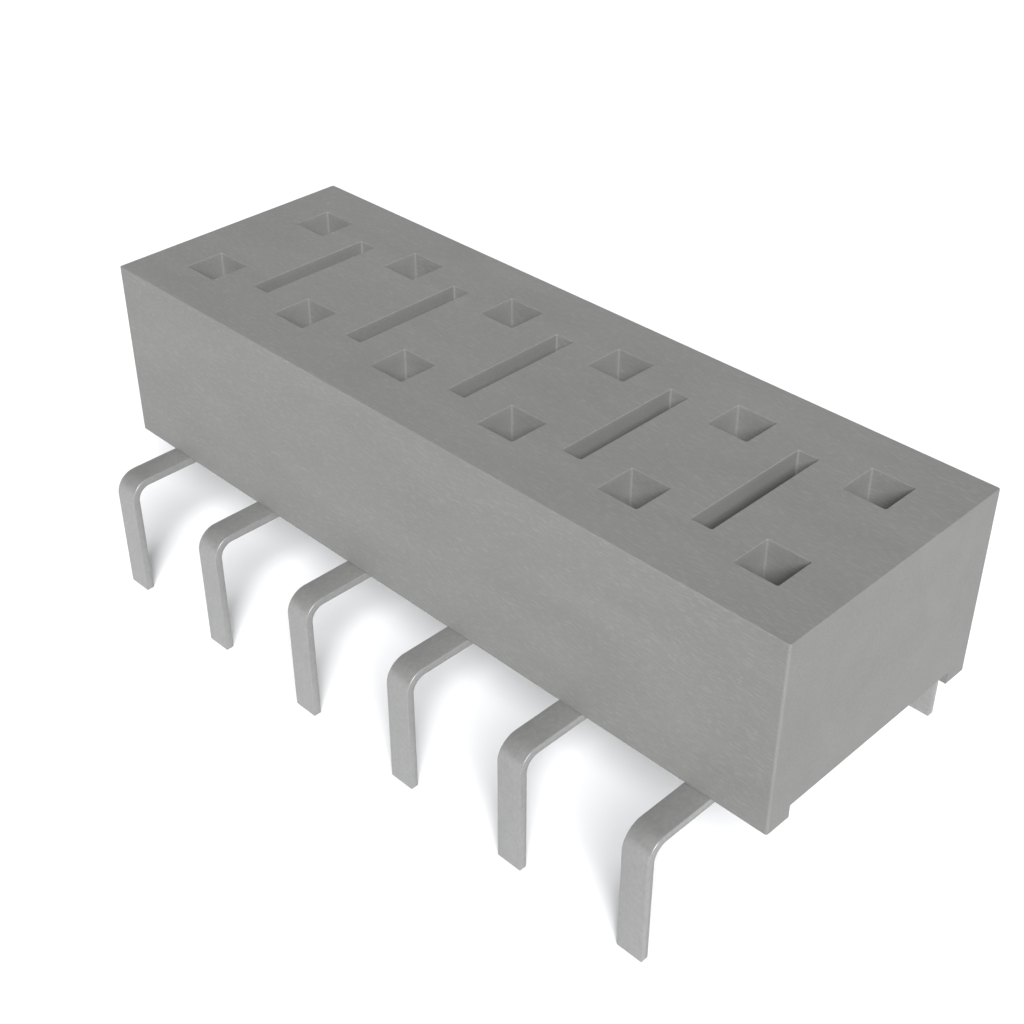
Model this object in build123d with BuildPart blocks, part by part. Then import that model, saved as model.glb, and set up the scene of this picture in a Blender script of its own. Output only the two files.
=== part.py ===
"""Low-profile double-row socket strip for a circuit board, all lengths in millimetres.

A moulded housing holds two rows of stamped spring contacts. Each contact's tail leaves the
underside, runs outward beneath the side rib and turns down to pass through the board.
+X runs along the rows, +Y from the front row to the rear row and +Z up. The origin is the
centre of the footprint, level with the tips of the tails.
"""

import os

from build123d import *

# The grid of posts that plug in from above
columns = 6
pitch = 2.54
row_spacing = 2.54

# The housing's outside
housing_height = 3.50
end_margin = 1.27
side_margin = 1.27

# The openings in the top face
entry_side = 0.762
entry_depth = 0.90
slot_width = 0.381
slot_length = 2.54
slot_depth = 2.75

# The channel under the housing, between its two side ribs
channel_depth = 0.25

# The strip that each contact is stamped from, and the tail at its lower end
strip_thickness = 0.15
tail_width = 0.50
tail_row_spacing = 7.62
tail_length = 2.29
tail_bend_radius = 0.25
rib_bend_radius = 0.20

# The collar that the contact stands on inside the housing
collar_width = 1.44
collar_height = 0.75
collar_bend_radius = 0.10
barb_height = 0.04
barb_length = 0.15

# The two spring beams that grip the post
beam_width = 0.50
beam_gap = 0.46
beam_tip_gap = 0.85
beam_tip_length = 0.45
beam_bend_radius = 0.25

# Clearances between the contact and the housing
entry_setback = 0.02
collar_side_clearance = 0.02
collar_edge_clearance = 0.05
rib_clearance = 0.01
beam_tip_clearance = 0.12

# Heights above the tips of the tails
seat_z = tail_length
housing_bottom_z = seat_z + strip_thickness
channel_roof_z = housing_bottom_z + channel_depth
collar_top_z = channel_roof_z + collar_height
housing_top_z = housing_bottom_z + housing_height
entry_floor_z = housing_top_z - entry_depth

# Distances from the strip's centre plane, for the rear row
row_y = row_spacing / 2
pocket_inner_y = row_y - entry_side / 2 - entry_setback
plate_inner_y = row_y + entry_side / 2 + entry_setback
plate_outer_y = plate_inner_y + strip_thickness
collar_edge_y = pocket_inner_y + collar_edge_clearance
rib_inner_y = plate_outer_y + rib_bend_radius + rib_clearance

housing_length = (columns - 1) * pitch + 2 * end_margin
housing_width = row_spacing + 2 * side_margin
pocket_width = collar_width + 2 * collar_side_clearance

# The housing is one moulding: a block with a channel along its underside
with BuildPart() as housing:
    with BuildSketch(Plane.XY.offset(housing_bottom_z)):
        Rectangle(housing_length, housing_width)
    extrude(amount=housing_height)

    with BuildSketch(Plane.XY.offset(housing_bottom_z)):
        Rectangle(housing_length, 2 * rib_inner_y)
    extrude(amount=channel_depth, mode=Mode.SUBTRACT)

    # A blind slot between each two columns keeps the walls even
    with BuildSketch(Plane.XY.offset(housing_top_z)):
        with GridLocations(pitch, 0, columns - 1, 1):
            Rectangle(slot_width, slot_length)
    extrude(amount=-slot_depth, mode=Mode.SUBTRACT)

    # A square entry for each post
    with BuildSketch(Plane.XY.offset(housing_top_z)):
        with GridLocations(pitch, row_spacing, columns, 2):
            Rectangle(entry_side, entry_side)
    extrude(amount=-entry_depth, mode=Mode.SUBTRACT)

    # The pocket below each entry, where the beams spread
    with BuildSketch(Plane.XY.offset(channel_roof_z)):
        with GridLocations(pitch, row_spacing, columns, 2):
            Rectangle(pocket_width, plate_inner_y - pocket_inner_y)
    extrude(amount=entry_floor_z - channel_roof_z, mode=Mode.SUBTRACT)

    # The deeper seat for the collar, whose upper ledge stops the contact
    with BuildSketch(Plane.XY.offset(channel_roof_z)):
        with GridLocations(pitch, plate_outer_y + pocket_inner_y, columns, 2):
            Rectangle(pocket_width, plate_outer_y - pocket_inner_y)
    extrude(amount=collar_height, mode=Mode.SUBTRACT)

# A contact is one strip, stamped and bent; this one stands in the rear row at X = 0
plate_mid_y = plate_inner_y + strip_thickness / 2
leg_mid_z = seat_z + strip_thickness / 2
side_mid_x = (collar_width - strip_thickness) / 2
beam_mid_x = (beam_gap + strip_thickness) / 2
tip_mid_x = (beam_tip_gap + strip_thickness) / 2
beam_tip_z = entry_floor_z - beam_tip_clearance
grip_z = beam_tip_z - beam_tip_length
barb_shoulder_z = channel_roof_z + (collar_height - barb_length) / 2

with BuildPart() as contact:
    # The tail drops from the collar, runs outward below the rib and turns down
    with BuildSketch(Plane.YZ):
        with BuildLine():
            FilletPolyline(
                (plate_mid_y, collar_top_z),
                (plate_mid_y, leg_mid_z),
                (tail_row_spacing / 2, leg_mid_z),
                (tail_row_spacing / 2, 0),
                radius=[
                    rib_bend_radius + strip_thickness / 2,
                    tail_bend_radius + strip_thickness / 2,
                ],
            )
        trace(line_width=strip_thickness)
    extrude(amount=tail_width / 2, both=True)

    # The collar is the strip folded round three sides of the pocket
    with BuildSketch(Plane.XY.offset(channel_roof_z)):
        with BuildLine():
            FilletPolyline(
                (-side_mid_x, collar_edge_y),
                (-side_mid_x, plate_mid_y),
                (side_mid_x, plate_mid_y),
                (side_mid_x, collar_edge_y),
                radius=collar_bend_radius + strip_thickness / 2,
            )
        trace(line_width=strip_thickness)
    extrude(amount=collar_height)

    # A barb on each free edge of the collar holds it against the pocket's inner wall
    for side in (-1, 1):
        with BuildSketch(Plane.YZ.offset(side * side_mid_x)):
            with BuildLine():
                Polyline(
                    (collar_edge_y, barb_shoulder_z),
                    (collar_edge_y - barb_height, barb_shoulder_z),
                    (collar_edge_y, barb_shoulder_z + barb_length),
                    close=True,
                )
            make_face()
        extrude(amount=strip_thickness / 2, both=True)

    # A beam rises from each side of the collar, leans in to grip and flares at its tip
    for side in (-1, 1):
        with BuildSketch(Plane.XZ.offset(-row_y)):
            with BuildLine():
                FilletPolyline(
                    (side * side_mid_x, channel_roof_z + collar_height / 2),
                    (side * side_mid_x, collar_top_z + beam_bend_radius / 2),
                    (side * beam_mid_x, grip_z),
                    (side * tip_mid_x, beam_tip_z),
                    radius=beam_bend_radius,
                )
            trace(line_width=strip_thickness)
        extrude(amount=beam_width / 2, both=True)

# Every piece is written under its own name. A contact has the same shape on its left and right,
# so mirroring turns the front row's contacts to face the other way
os.makedirs("parts", exist_ok=True)

housing.part.label = "housing"
export_step(housing.part, "parts/housing.step")

front_contact = mirror(contact.part, about=Plane.XZ)
for row, row_contact in (("front", front_contact), ("rear", contact.part)):
    for column in range(columns):
        column_x = (column - (columns - 1) / 2) * pitch
        placed = row_contact.moved(Location((column_x, 0, 0)))
        placed.label = f"contact_{row}_{column + 1}"
        export_step(placed, f"parts/{placed.label}.step")
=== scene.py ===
"""A low-profile double-row socket strip for a circuit board: its housing and its twelve contacts.

Lengths are in millimetres, and in metres where they are multiplied by mm.
"""
import math

import bmesh
import bpy
from mathutils import Matrix, Vector


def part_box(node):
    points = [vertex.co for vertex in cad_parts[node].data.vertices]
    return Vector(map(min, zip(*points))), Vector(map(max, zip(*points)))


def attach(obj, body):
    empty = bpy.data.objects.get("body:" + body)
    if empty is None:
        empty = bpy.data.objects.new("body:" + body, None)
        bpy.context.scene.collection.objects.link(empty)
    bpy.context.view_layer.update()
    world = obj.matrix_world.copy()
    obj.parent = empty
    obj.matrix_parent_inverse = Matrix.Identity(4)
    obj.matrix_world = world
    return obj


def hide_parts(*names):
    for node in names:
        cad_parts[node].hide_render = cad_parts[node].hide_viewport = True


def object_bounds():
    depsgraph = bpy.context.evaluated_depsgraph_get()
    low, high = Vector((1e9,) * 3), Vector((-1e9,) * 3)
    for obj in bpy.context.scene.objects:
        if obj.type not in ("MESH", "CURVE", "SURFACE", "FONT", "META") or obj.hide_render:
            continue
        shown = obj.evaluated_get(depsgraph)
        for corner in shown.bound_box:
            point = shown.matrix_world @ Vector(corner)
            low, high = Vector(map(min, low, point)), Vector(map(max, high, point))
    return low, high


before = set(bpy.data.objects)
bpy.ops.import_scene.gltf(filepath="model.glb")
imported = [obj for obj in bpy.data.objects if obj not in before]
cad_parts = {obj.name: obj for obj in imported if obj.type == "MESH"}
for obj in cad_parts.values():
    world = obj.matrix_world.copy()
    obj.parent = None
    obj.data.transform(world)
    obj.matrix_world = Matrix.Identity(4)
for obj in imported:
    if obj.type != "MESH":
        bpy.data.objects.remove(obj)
cad_low, cad_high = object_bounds()

# The housing is one moulding in grey glass-filled resin, with the matte skin of a spark-eroded mould.
# A square well over each contact lets a post in, and a narrow blind slot between each two columns
# keeps the walls even. The contacts go up into their pockets from a channel along the underside.
mm = 0.001
housing_low, housing_high = (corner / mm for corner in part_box("housing"))
housing_half = (housing_high - housing_low) / 2
columns = 6
pitch = 2 * housing_half.x / columns
row_spacing = housing_half.y
entry_side = 0.762
entry_depth = 0.90
slot_width = 0.381
slot_length = 2.54
slot_depth = 2.75
channel_depth = 0.25
pocket_width = 1.48
pocket_setback = 0.02
seat_height = 0.75
strip_thickness = 0.15
rib_bend_radius = 0.20
rib_clearance = 0.01

top_z = housing_high.z
roof_z = housing_low.z + channel_depth
ceiling_z = top_z - entry_depth
seat_top_z = roof_z + seat_height
pocket_near_y = (row_spacing - entry_side) / 2 - pocket_setback
pocket_far_y = (row_spacing + entry_side) / 2 + pocket_setback
seat_far_y = pocket_far_y + strip_thickness
rib_y = seat_far_y + rib_bend_radius + rib_clearance

# Radii that the mould leaves on the corners and edges
corner_radius = 0.045
edge_radius = 0.02
well_corner_radius = 0.03
well_mouth_radius = 0.015
well_floor_radius = 0.025

# A quarter round of unit radius, as how far it has come across and how far along
arc_steps = 5
right_angle = math.pi / 2
quarter_round = [
    (1 - math.cos(step / arc_steps * right_angle), math.sin(step / arc_steps * right_angle))
    for step in range(arc_steps + 1)
]

# How far a core goes on past the face that it opens in
overshoot = 0.3


def add_ring(mesh, middle, half, corner, z):
    """Adds one level of a block or core, a rectangle with rounded corners."""
    ring = []
    for quarter in range(4):
        side_x = 1 if quarter in (0, 3) else -1
        side_y = 1 if quarter in (0, 1) else -1
        for step in range(arc_steps + 1):
            angle = (quarter + step / arc_steps) * right_angle
            x = middle.x + side_x * (half.x - corner) + corner * math.cos(angle)
            y = middle.y + side_y * (half.y - corner) + corner * math.sin(angle)
            ring.append(mesh.verts.new((x, y, z)))
    return ring


def add_stack(mesh, middle, half, corner, levels):
    """Adds a closed solid through levels, each the growth of its outline and its height."""
    rings = []
    for growth, z in levels:
        grown = half + Vector((growth, growth))
        rings.append(add_ring(mesh, middle, grown, corner + growth, z))
    mesh.faces.new(rings[0])
    mesh.faces.new(rings[-1])
    for lower, upper in zip(rings, rings[1:]):
        for n, start in enumerate(lower):
            m = (n + 1) % len(lower)
            mesh.faces.new((start, lower[m], upper[m], upper[n]))


def add_core(mesh, middle, half, mouth, floor):
    """Adds a mould core that opens at mouth, with a rounded edge, and ends at floor."""
    way = 1 if mouth > floor else -1
    levels = []
    for across, along in reversed(quarter_round):
        levels.append((-across * well_floor_radius, floor + way * well_floor_radius * (1 - along)))
    for across, along in quarter_round:
        levels.append((across * well_mouth_radius, mouth - way * well_mouth_radius * (1 - along)))
    levels.append((well_mouth_radius, mouth + way * overshoot))
    add_stack(mesh, middle, half, well_corner_radius, levels)


def make_piece(name, mesh):
    """Turns a finished mesh into a piece of that name, right side out and still in millimetres."""
    bmesh.ops.recalc_face_normals(mesh, faces=mesh.faces)
    if mesh.calc_volume(signed=True) < 0:
        bmesh.ops.reverse_faces(mesh, faces=mesh.faces)
    piece = bpy.data.objects.new(name, bpy.data.meshes.new(name))
    mesh.to_mesh(piece.data)
    mesh.free()
    bpy.context.scene.collection.objects.link(piece)
    return piece


def carve(piece, cores):
    """Cuts the cores out of a piece."""
    cutter = make_piece("cutter", cores)
    cut = piece.modifiers.new("cut", "BOOLEAN")
    cut.operation = "DIFFERENCE"
    cut.solver = "MANIFOLD"
    cut.object = cutter
    carved = piece.evaluated_get(bpy.context.evaluated_depsgraph_get())
    piece.data = bpy.data.meshes.new_from_object(carved)
    piece.modifiers.clear()
    bpy.data.objects.remove(cutter)


def finish_shape(piece):
    """Brings a piece to its real size, and shades its rounded edges smoothly and its faces flat."""
    sharp_angle = math.radians(40)
    large_faces_only = 100
    piece.data.transform(Matrix.Scale(mm, 4))
    piece.data.shade_smooth()
    piece.data.set_sharp_from_angle(angle=sharp_angle)
    weighted = piece.modifiers.new("flat faces", "WEIGHTED_NORMAL")
    weighted.weight = large_faces_only
    weighted.keep_sharp = True


block = bmesh.new()
block_levels = []
for across, along in reversed(quarter_round):
    block_levels.append((-across * edge_radius, housing_low.z + edge_radius * (1 - along)))
for across, along in quarter_round:
    block_levels.append((-across * edge_radius, top_z - edge_radius * (1 - along)))
add_stack(block, Vector((0, 0)), housing_half.xy, corner_radius, block_levels)
housing = make_piece("housing_moulding", block)

channel = bmesh.new()
channel_half = Vector((housing_half.x + overshoot, rib_y))
add_core(channel, Vector((0, 0)), channel_half, housing_low.z, roof_z)
carve(housing, channel)

columns_x = [(n - (columns - 1) / 2) * pitch for n in range(columns)]
slots = bmesh.new()
slot_half = Vector((slot_width, slot_length)) / 2
for x in columns_x[1:]:
    add_core(slots, Vector((x - pitch / 2, 0)), slot_half, top_z, top_z - slot_depth)
carve(housing, slots)

# An entry's core runs on into its pocket, so that its rounded end leaves nothing in the way
pockets = bmesh.new()
seats = bmesh.new()
entries = bmesh.new()
pocket_half = Vector((pocket_width, pocket_far_y - pocket_near_y)) / 2
seat_half = Vector((pocket_width, seat_far_y - pocket_near_y)) / 2
entry_half = Vector((entry_side, entry_side)) / 2
for side in (-1, 1):
    for x in columns_x:
        post_place = Vector((x, side * row_spacing / 2))
        seat_place = Vector((x, side * (pocket_near_y + seat_far_y) / 2))
        add_core(pockets, post_place, pocket_half, roof_z, ceiling_z)
        add_core(seats, seat_place, seat_half, roof_z, seat_top_z)
        add_core(entries, post_place, entry_half, top_z, ceiling_z - well_floor_radius)
for cores in (pockets, seats, entries):
    carve(housing, cores)
finish_shape(housing)


def start_material(name):
    """A new material with its nodes and its shader."""
    material = bpy.data.materials.new(name)
    material.use_nodes = True
    tree = material.node_tree
    return material, tree, tree.nodes["Principled BSDF"]


def add_node(tree, kind, inputs=(), **settings):
    """Adds a node, with its settings, its values and what is linked to it."""
    node = tree.nodes.new("ShaderNode" + kind)
    for name, value in settings.items():
        setattr(node, name, value)
    for name, value in dict(inputs).items():
        if isinstance(value, bpy.types.NodeSocket):
            tree.links.new(value, node.inputs[name])
        else:
            node.inputs[name].default_value = value
    return node


def graded(tree, noise, low, high):
    """A number that goes from low to high over the usual reach of a noise."""
    noise_low = 0.3
    noise_high = 0.7
    reach = {"Value": noise, "From Min": noise_low, "From Max": noise_high}
    return add_node(tree, "MapRange", {**reach, "To Min": low, "To Max": high}).outputs["Result"]


def tinted(tree, share, first, second, way="MIX"):
    """The first colour, with a share of the second mixed into it or added to it."""
    inputs = {"Factor": share, "A": first, "B": second}
    return add_node(tree, "Mix", inputs, data_type="RGBA", blend_type=way).outputs["Result"]


resin_dark = (0.162, 0.162, 0.159, 1)
resin_light = (0.176, 0.176, 0.173, 1)
resin_gloss = 0.28
resin, tree, shader = start_material("glass_filled_resin")
place = add_node(tree, "TexCoord").outputs["Object"]

# Cloudy streaks along the way the resin flowed, from one end of the mould to the other
flow_streak = 0.9
flow_stretch = 0.35
flow_detail = 4
flow_bending = 0.6
streaks = add_node(tree, "Mapping", {"Vector": place, "Scale": (flow_stretch, 1, 1)})
flow_inputs = {
    "Vector": streaks.outputs["Vector"],
    "Scale": 1 / (flow_streak * mm),
    "Detail": flow_detail,
    "Distortion": flow_bending,
}
flow = add_node(tree, "TexNoise", flow_inputs).outputs["Fac"]
tone = tinted(tree, graded(tree, flow, 0, 1), resin_dark, resin_light)

# Short glass fibres just under the skin, lying roughly along the flow and a little lighter. The low
# end of their grade is well below nothing, so that only the peaks of the noise show as fibres.
fibre_width = 0.02
fibre_length = 0.16
fibre_glow = (0.02, 0.02, 0.02, 1)
fibre_low = -1.6
flow_swirl = 0.7
flow_sway = 0.14
swirl = add_node(tree, "TexNoise", {"Vector": place, "Scale": 1 / (flow_swirl * mm), "Detail": 1})
sway_inputs = {0: swirl.outputs["Color"], 1: (flow_sway * mm,) * 3}
sway = add_node(tree, "VectorMath", sway_inputs, operation="MULTIPLY")
strayed = add_node(tree, "VectorMath", {0: place, 1: sway.outputs["Vector"]}, operation="ADD")
fibre_scale = (1 / (fibre_length * mm), 1 / (fibre_width * mm), 1 / (fibre_width * mm))
laid = add_node(tree, "Mapping", {"Vector": strayed.outputs["Vector"], "Scale": fibre_scale})
threads = add_node(tree, "TexNoise", {"Vector": laid.outputs["Vector"], "Scale": 1, "Detail": 0})
fibres = graded(tree, threads.outputs["Fac"], fibre_low, 1)
veiled = tinted(tree, fibres, tone, fibre_glow, way="ADD")
tree.links.new(veiled, shader.inputs["Base Color"])

# The fine grain that spark erosion left in the mould
skin_grain = 0.055
skin_relief = 0.006
skin_detail = 3
skin_sharpness = 0.6
pit_roughness = 0.72
peak_roughness = 0.60
skin_inputs = {
    "Vector": place,
    "Scale": 1 / (skin_grain * mm),
    "Detail": skin_detail,
    "Roughness": skin_sharpness,
}
skin = add_node(tree, "TexNoise", skin_inputs).outputs["Fac"]
tree.links.new(graded(tree, skin, pit_roughness, peak_roughness), shader.inputs["Roughness"])
relief = add_node(tree, "Bump", {"Height": skin, "Strength": 1, "Distance": skin_relief * mm})
tree.links.new(relief.outputs["Normal"], shader.inputs["Normal"])
shader.inputs["Specular IOR Level"].default_value = resin_gloss
housing.data.materials.clear()
housing.data.materials.append(resin)

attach(housing, "root")
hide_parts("housing")

# Each of the twelve contacts is stamped from thin spring bronze, folded, and then plated with matt
# tin. Its collar is pushed up to the seat's ledge, where barbs on its free edges bite the wall. Two
# beams grip the post between them, and the tail runs out under the side and turns down to the board.
rear_low, rear_high = (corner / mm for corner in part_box("contact_rear_1"))
tail_width = 0.50
tail_bend_radius = 0.25
collar_bend_radius = 0.10
collar_edge_clearance = 0.05
barb_height = 0.04
barb_length = 0.15
beam_width = 0.50
beam_gap = 0.46
beam_tip_gap = 0.85
beam_tip_length = 0.45
beam_tip_clearance = 0.12
beam_bend_radius = 0.25
root_radius = 0.04
stamped_edge_radius = 0.015

half_strip = strip_thickness / 2
collar_width = rear_high.x - rear_low.x
collar_edge_y = pocket_near_y + collar_edge_clearance
plate_y = pocket_far_y + half_strip
side_x = collar_width / 2 - half_strip
tail_y = rear_high.y - half_strip
leg_z = housing_low.z - half_strip
grip_x = (beam_gap + strip_thickness) / 2
tip_x = (beam_tip_gap + strip_thickness) / 2
lean_z = seat_top_z + beam_bend_radius / 2
tip_z = ceiling_z - beam_tip_clearance
grip_z = tip_z - beam_tip_length

# How each arm of the blank is folded: a straight run, then a bend's radius and its turn
rib_bend = rib_bend_radius + half_strip
tail_bend = tail_bend_radius + half_strip
collar_bend = collar_bend_radius + half_strip
lean = math.atan2(side_x - grip_x, grip_z - lean_z)
flare = math.atan2(tip_x - grip_x, tip_z - grip_z)
lean_length = math.hypot(side_x - grip_x, grip_z - lean_z)
flare_length = math.hypot(tip_x - grip_x, tip_z - grip_z)
lean_tangent = beam_bend_radius * math.tan(lean / 2)
grip_tangent = beam_bend_radius * math.tan((lean + flare) / 2)
tail_folds = [
    (roof_z - leg_z - rib_bend, rib_bend, right_angle),
    (tail_y - plate_y - rib_bend - tail_bend, tail_bend, -right_angle),
    (leg_z - tail_bend - rear_low.z, 0, 0),
]
collar_folds = [
    (side_x - collar_bend, collar_bend, -right_angle),
    (plate_y - collar_bend - collar_edge_y, 0, 0),
]
beam_folds = [
    (lean_z - seat_top_z - lean_tangent, beam_bend_radius, lean),
    (lean_length - lean_tangent - grip_tangent, beam_bend_radius, -lean - flare),
    (flare_length - grip_tangent, 0, 0),
]


def lines_across(folds):
    """How far along an arm the blank needs a line across it, so that it can be folded there."""
    fold_step = math.radians(6)
    lines = [0]
    for run, radius, turn in folds:
        lines.append(lines[-1] + run)
        steps = math.ceil(abs(turn) / fold_step)
        for _ in range(steps):
            lines.append(lines[-1] + radius * abs(turn) / steps)
    return lines


def follow(start, heading, folds, distance, offset=0):
    """The point at a distance along a folded arm, set off from the middle of the strip by offset."""
    at = Vector(start)
    for run, radius, turn in folds:
        step = min(distance, run) if radius else distance
        distance -= step
        at += step * Vector((math.cos(heading), math.sin(heading)))
        if radius:
            step = min(distance, radius * abs(turn))
            distance -= step
            reach = math.copysign(radius, turn)
            at += reach * Vector((-math.sin(heading), math.cos(heading)))
            heading += step / reach
            at -= reach * Vector((-math.sin(heading), math.cos(heading)))
    return at + offset * Vector((-math.sin(heading), math.cos(heading)))


def fold(u, v, w):
    """Where a point of the flat blank lies on a folded contact of the rear row at X = 0.

    On the blank u runs across from its middle, v up from the collar's foot and w through the strip.
    """
    side = math.copysign(1, u)
    if v < 0:
        y, z = follow((plate_y, roof_z), -right_angle, tail_folds, -v, w)
        return Vector((u, y, z))
    x, y = follow((0, plate_y), 0, collar_folds, abs(u), w)
    if v <= seat_height:
        return Vector((side * x, y, roof_z + v))
    x, z = follow((side_x, seat_top_z), right_angle, beam_folds, v - seat_height, -w)
    y = follow((0, plate_y), 0, collar_folds, abs(u)).y
    return Vector((side * x, y, z))


def stamp_blank():
    """The flat blank: a strip for the collar, with the tail below it and a beam up from each arm."""
    blank = bmesh.new()
    points = {}
    digits = 6

    def point(u, v):
        """The point of the blank at that place, which is made when it is first asked for."""
        key = round(u, digits), round(v, digits)
        if key not in points:
            points[key] = blank.verts.new((u, v, 0))
        return points[key]

    def add_cells(us, vs):
        """Adds a face between each two lines of us and each two lines of vs."""
        for u, next_u in zip(us, us[1:]):
            for v, next_v in zip(vs, vs[1:]):
                corners = (u, v), (next_u, v), (next_u, next_v), (u, next_v)
                blank.faces.new([point(*corner) for corner in corners])

    def add_web(u, v, way_u, way_v):
        """Rounds the inner corner where a tail or a beam leaves the collar."""
        corners = [point(u, v)]
        for across, along in quarter_round:
            web_u = u + way_u * root_radius * across
            web_v = v + way_v * root_radius * (1 - along)
            corners.append(point(web_u, web_v))
        blank.faces.new(corners)

    collar_lines = lines_across(collar_folds)
    arm_end = collar_lines[-1]
    wall_start = collar_lines[-2]
    wall_y = plate_y - collar_bend
    beam_start = wall_start + wall_y - row_spacing / 2 - beam_width / 2
    beam_end = beam_start + beam_width
    tail_half = tail_width / 2
    barb_start = (seat_height - barb_length) / 2
    barb_end = barb_start + barb_length

    arm_lines = {*collar_lines, tail_half, tail_half + root_radius}
    arm_lines |= {beam_start - root_radius, beam_start, beam_end, beam_end + root_radius}
    arm_lines = sorted(arm_lines)
    both_arms = [-u for u in reversed(arm_lines[1:])] + arm_lines
    add_cells(both_arms, [0, barb_start, barb_end, seat_height])
    tail_lines = sorted({*lines_across(tail_folds), root_radius}, reverse=True)
    add_cells([-tail_half, 0, tail_half], [-v for v in tail_lines])
    beam_lines = [seat_height + v for v in sorted({*lines_across(beam_folds), root_radius})]
    for side in (-1, 1):
        add_cells([side * beam_start, side * beam_end], beam_lines)
        add_web(side * tail_half, 0, side, -1)
        add_web(side * beam_start, seat_height, -side, 1)
        add_web(side * beam_end, seat_height, side, 1)
        barb = [(arm_end, barb_start), (arm_end + barb_height, barb_start), (arm_end, barb_end)]
        blank.faces.new([point(side * u, v) for u, v in barb])
    return blank


def form_contact(row_side, x, coil_place):
    """A blank given its thickness and stamped edges, folded, and turned to face its row."""
    edge_steps = 3
    round_profile = 0.5
    cut_face_slope = 0.3
    blank = stamp_blank()
    bmesh.ops.recalc_face_normals(blank, faces=blank.faces)
    bmesh.ops.solidify(blank, geom=blank.faces[:], thickness=strip_thickness)
    bmesh.ops.recalc_face_normals(blank, faces=blank.faces)
    rise = max(vert.co.z for vert in blank.verts) - half_strip
    bmesh.ops.translate(blank, vec=(0, 0, -rise), verts=blank.verts)
    rim = [edge for edge in blank.edges if edge.calc_face_angle() > right_angle / 2]
    bmesh.ops.bevel(
        blank,
        geom=rim,
        offset=stamped_edge_radius,
        offset_type="OFFSET",
        segments=edge_steps,
        profile=round_profile,
        affect="EDGES",
    )

    # The bevel leaves the faces in a chance order, so the folded contact gets them in a fixed one
    contact = bmesh.new()
    flat = contact.verts.layers.float_vector.new("blank")
    for vert in blank.verts:
        u, v, w = vert.co
        at = fold(u, v, w)
        folded = contact.verts.new((x + row_side * at.x, row_side * at.y, at.z))
        folded[flat] = (u, v + coil_place, w)
    contact.verts.ensure_lookup_table()
    blank.verts.index_update()
    faces = []
    for face in blank.faces:
        corners = [vert.index for vert in face.verts]
        first = corners.index(min(corners))
        is_cut = abs(face.normal.z) < cut_face_slope
        faces.append((corners[first:] + corners[:first], is_cut))
    for corners, is_cut in sorted(faces):
        face = contact.faces.new([contact.verts[n] for n in corners])
        face.material_index = 1 if is_cut else 0
    blank.free()
    return contact


tin_dark = (0.24, 0.24, 0.238, 1)
tin_light = (0.275, 0.275, 0.272, 1)
tin_metal = 0.42
tin_crystal = 0.05


def plate_metal(name, line_scale, line_relief):
    """Matt tin over lines in the strip, with the strip's own directions and the lines' marks."""
    line_detail = 2
    line_strength = 0.6
    tin, tree, shader = start_material(name)
    place = add_node(tree, "TexCoord").outputs["Object"]
    strip = add_node(tree, "Attribute", attribute_name="blank").outputs["Vector"]
    lines = add_node(tree, "Mapping", {"Vector": strip, "Scale": line_scale}).outputs["Vector"]
    mark_inputs = {"Vector": lines, "Scale": 1, "Detail": line_detail}
    marks = add_node(tree, "TexNoise", mark_inputs).outputs["Fac"]
    crystal_inputs = {"Vector": place, "Scale": 1 / (tin_crystal * mm)}
    crystals = add_node(tree, "TexVoronoi", crystal_inputs).outputs["Color"]
    tree.links.new(tinted(tree, crystals, tin_dark, tin_light), shader.inputs["Base Color"])
    relief_inputs = {"Height": marks, "Strength": line_strength, "Distance": line_relief * mm}
    relief = add_node(tree, "Bump", relief_inputs)
    tree.links.new(relief.outputs["Normal"], shader.inputs["Normal"])
    shader.inputs["Metallic"].default_value = tin_metal
    return tin, tree, shader, strip, marks


# The strip's two faces keep the lines of the rolls that thinned it
rolled_line_width = 0.015
rolled_line_length = 1.2
rolled_relief = 0.002
rolled_roughness_low = 0.32
rolled_roughness_high = 0.42
rolled_scale = (1 / rolled_line_width, 1 / rolled_line_length, 1)
rolled_tin, tree, shader, _, marks = plate_metal("rolled_tin", rolled_scale, rolled_relief)
rolled_roughness = graded(tree, marks, rolled_roughness_low, rolled_roughness_high)
tree.links.new(rolled_roughness, shader.inputs["Roughness"])

# Its cut edges are burnished where the punch went in, and torn and rough below. The marks make the
# line between the two ragged, by half the strip's thickness at most.
sheared_line_width = 0.01
sheared_relief = 0.003
torn_roughness = 0.6
burnished_roughness = 0.36
torn_share = 0.35
blend_share = 1 / 6
mean_mark = 0.5
sheared_scale = (1 / sheared_line_width, 1 / sheared_line_width, 1)
sheared_tin, tree, shader, strip, marks = plate_metal("sheared_tin", sheared_scale, sheared_relief)
depth = add_node(tree, "SeparateXYZ", {"Vector": strip}).outputs["Z"]
shift = add_node(tree, "Math", {0: marks, 1: half_strip}, operation="MULTIPLY").outputs["Value"]
ragged_depth = add_node(tree, "Math", {0: depth, 1: shift}, operation="ADD").outputs["Value"]
torn_end = (2 * torn_share - 1 + mean_mark) * half_strip
burnished_start = torn_end + blend_share * strip_thickness
bands = {
    "Value": ragged_depth,
    "From Min": torn_end,
    "From Max": burnished_start,
    "To Min": torn_roughness,
    "To Max": burnished_roughness,
}
sheared_roughness = add_node(tree, "MapRange", bands).outputs["Result"]
tree.links.new(sheared_roughness, shader.inputs["Roughness"])

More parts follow.
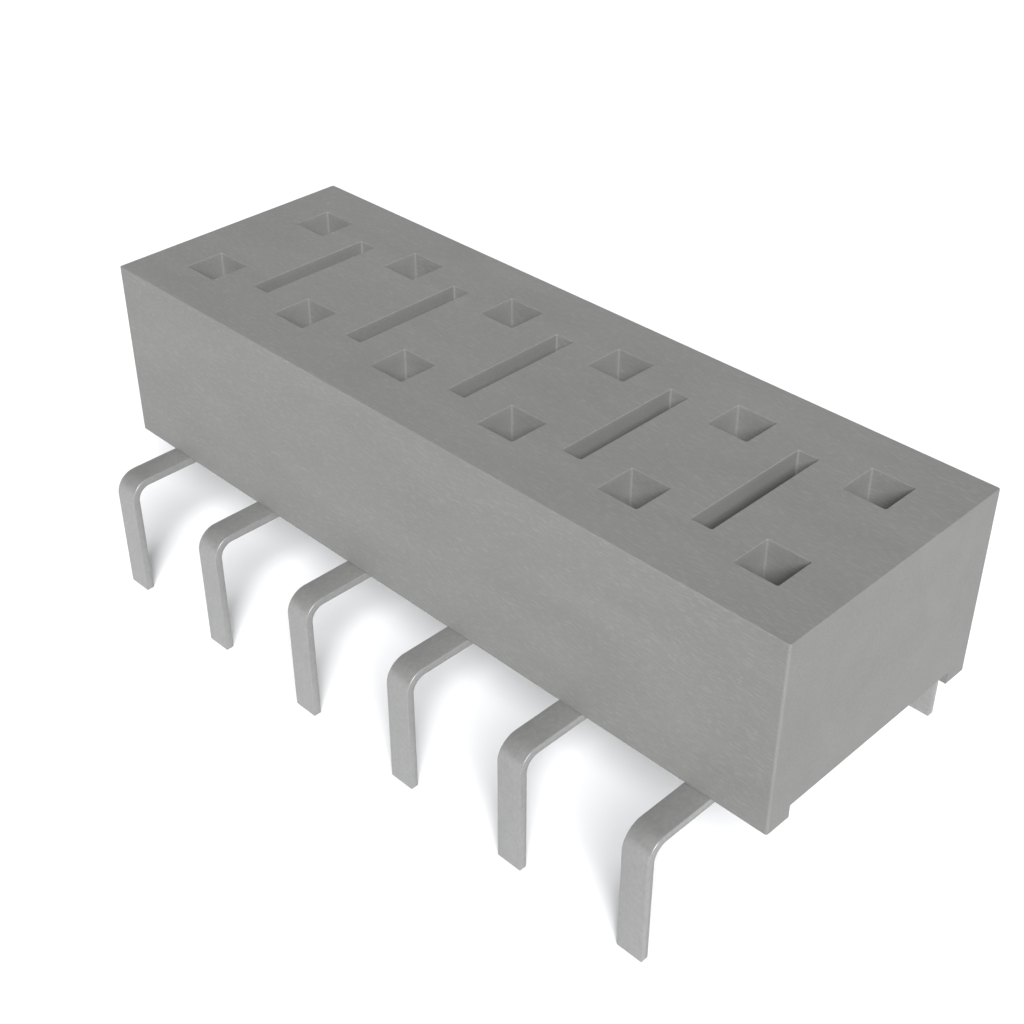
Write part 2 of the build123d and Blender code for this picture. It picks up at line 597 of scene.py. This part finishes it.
# Each contact comes from another place along the coil of strip, so that no two have the same marks
column_feed = 10
row_feed = 100
for row, row_side in (("front", -1), ("rear", 1)):
    for n, x in enumerate(columns_x):
        name = f"contact_{row}_{n + 1}"
        coil_place = n * column_feed + row_side * row_feed
        contact = make_piece(name + "_strip", form_contact(row_side, x, coil_place))
        finish_shape(contact)
        contact.data.materials.append(rolled_tin)
        contact.data.materials.append(sheared_tin)
        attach(contact, "root")
        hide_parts(name)

# The strip stands on the tips of its tails, on plain pale card. A soft key light comes over the
# camera's shoulder, and a weaker light from behind fills the shadow side.
card_reach = 3000
card_colour = (0.79, 0.795, 0.805, 1)
card_roughness = 0.9
card_gloss = 0.1
card = bmesh.new()
bmesh.ops.create_grid(card, x_segments=1, y_segments=1, size=card_reach)
floor = make_piece("studio_floor", card)
finish_shape(floor)
matte_card, tree, shader = start_material("matte_card")
shader.inputs["Base Color"].default_value = card_colour
shader.inputs["Roughness"].default_value = card_roughness
shader.inputs["Specular IOR Level"].default_value = card_gloss
floor.data.materials.append(matte_card)

middle = (cad_low + cad_high) / 2
lamp_distance = 500 * mm


def looking_at(azimuth, elevation, distance, target):
    """A place seen from the target in that direction, and the turn that faces the target from it."""
    a, e = math.radians(azimuth), math.radians(elevation)
    back = Vector((math.sin(a) * math.cos(e), -math.cos(a) * math.cos(e), math.sin(e)))
    place = Matrix.Translation(target + back * distance)
    return place @ (-back).to_track_quat("-Z", "Y").to_matrix().to_4x4()


def add_light(name, azimuth, elevation, softness, strength):
    """A distant soft light that faces the object, softness degrees across."""
    light = bpy.data.lights.new(name, "SUN")
    light.angle = math.radians(softness)
    light.energy = strength
    lamp = bpy.data.objects.new(name, light)
    bpy.context.scene.collection.objects.link(lamp)
    lamp.matrix_world = looking_at(azimuth, elevation, lamp_distance, middle)
    return lamp


add_light("key_light", azimuth=47, elevation=38, softness=28, strength=5.8)

# The back light is polarised, so that it fills the shadow side without a glare on the top
back_light = add_light("back_light", azimuth=225, elevation=8, softness=16, strength=2.7)
back_light.visible_glossy = False

# The walls of the studio are pale all round and its ceiling is dim
wall_top = 0.14
ceiling_edge = 0.34
wall_glow = 1.05
ceiling_glow = 0.13
white = (1, 1, 1, 1)
world = bpy.data.worlds.new("studio")
world.use_nodes = True
bpy.context.scene.world = world
tree = world.node_tree
direction = add_node(tree, "TexCoord").outputs["Generated"]
height = add_node(tree, "SeparateXYZ", {"Vector": direction}).outputs["Z"]
walls = {
    "Value": height,
    "From Min": wall_top,
    "From Max": ceiling_edge,
    "To Min": wall_glow,
    "To Max": ceiling_glow,
}
glow = add_node(tree, "MapRange", walls, interpolation_type="SMOOTHSTEP").outputs["Result"]
tree.links.new(glow, tree.nodes["Background"].inputs["Strength"])
tree.nodes["Background"].inputs["Color"].default_value = white

# The camera looks down on the near end corner, as in the photograph. How far off it stands and how
# wide it sees give the edges of the housing the slopes that they have there.
view_azimuth = 45
view_elevation = 35.264
view_distance = 28.484 * mm
view_angle = 35
nearest_seen = 1 * mm
farthest_seen = 5000 * mm
camera_data = bpy.data.cameras.new("camera")
camera_data.angle = math.radians(view_angle)
camera_data.clip_start = nearest_seen
camera_data.clip_end = farthest_seen
camera = bpy.data.objects.new("camera", camera_data)
bpy.context.scene.collection.objects.link(camera)
camera.matrix_world = looking_at(view_azimuth, view_elevation, view_distance, middle)
bpy.context.scene.camera = camera
bpy.context.scene.view_settings.view_transform = "Standard"
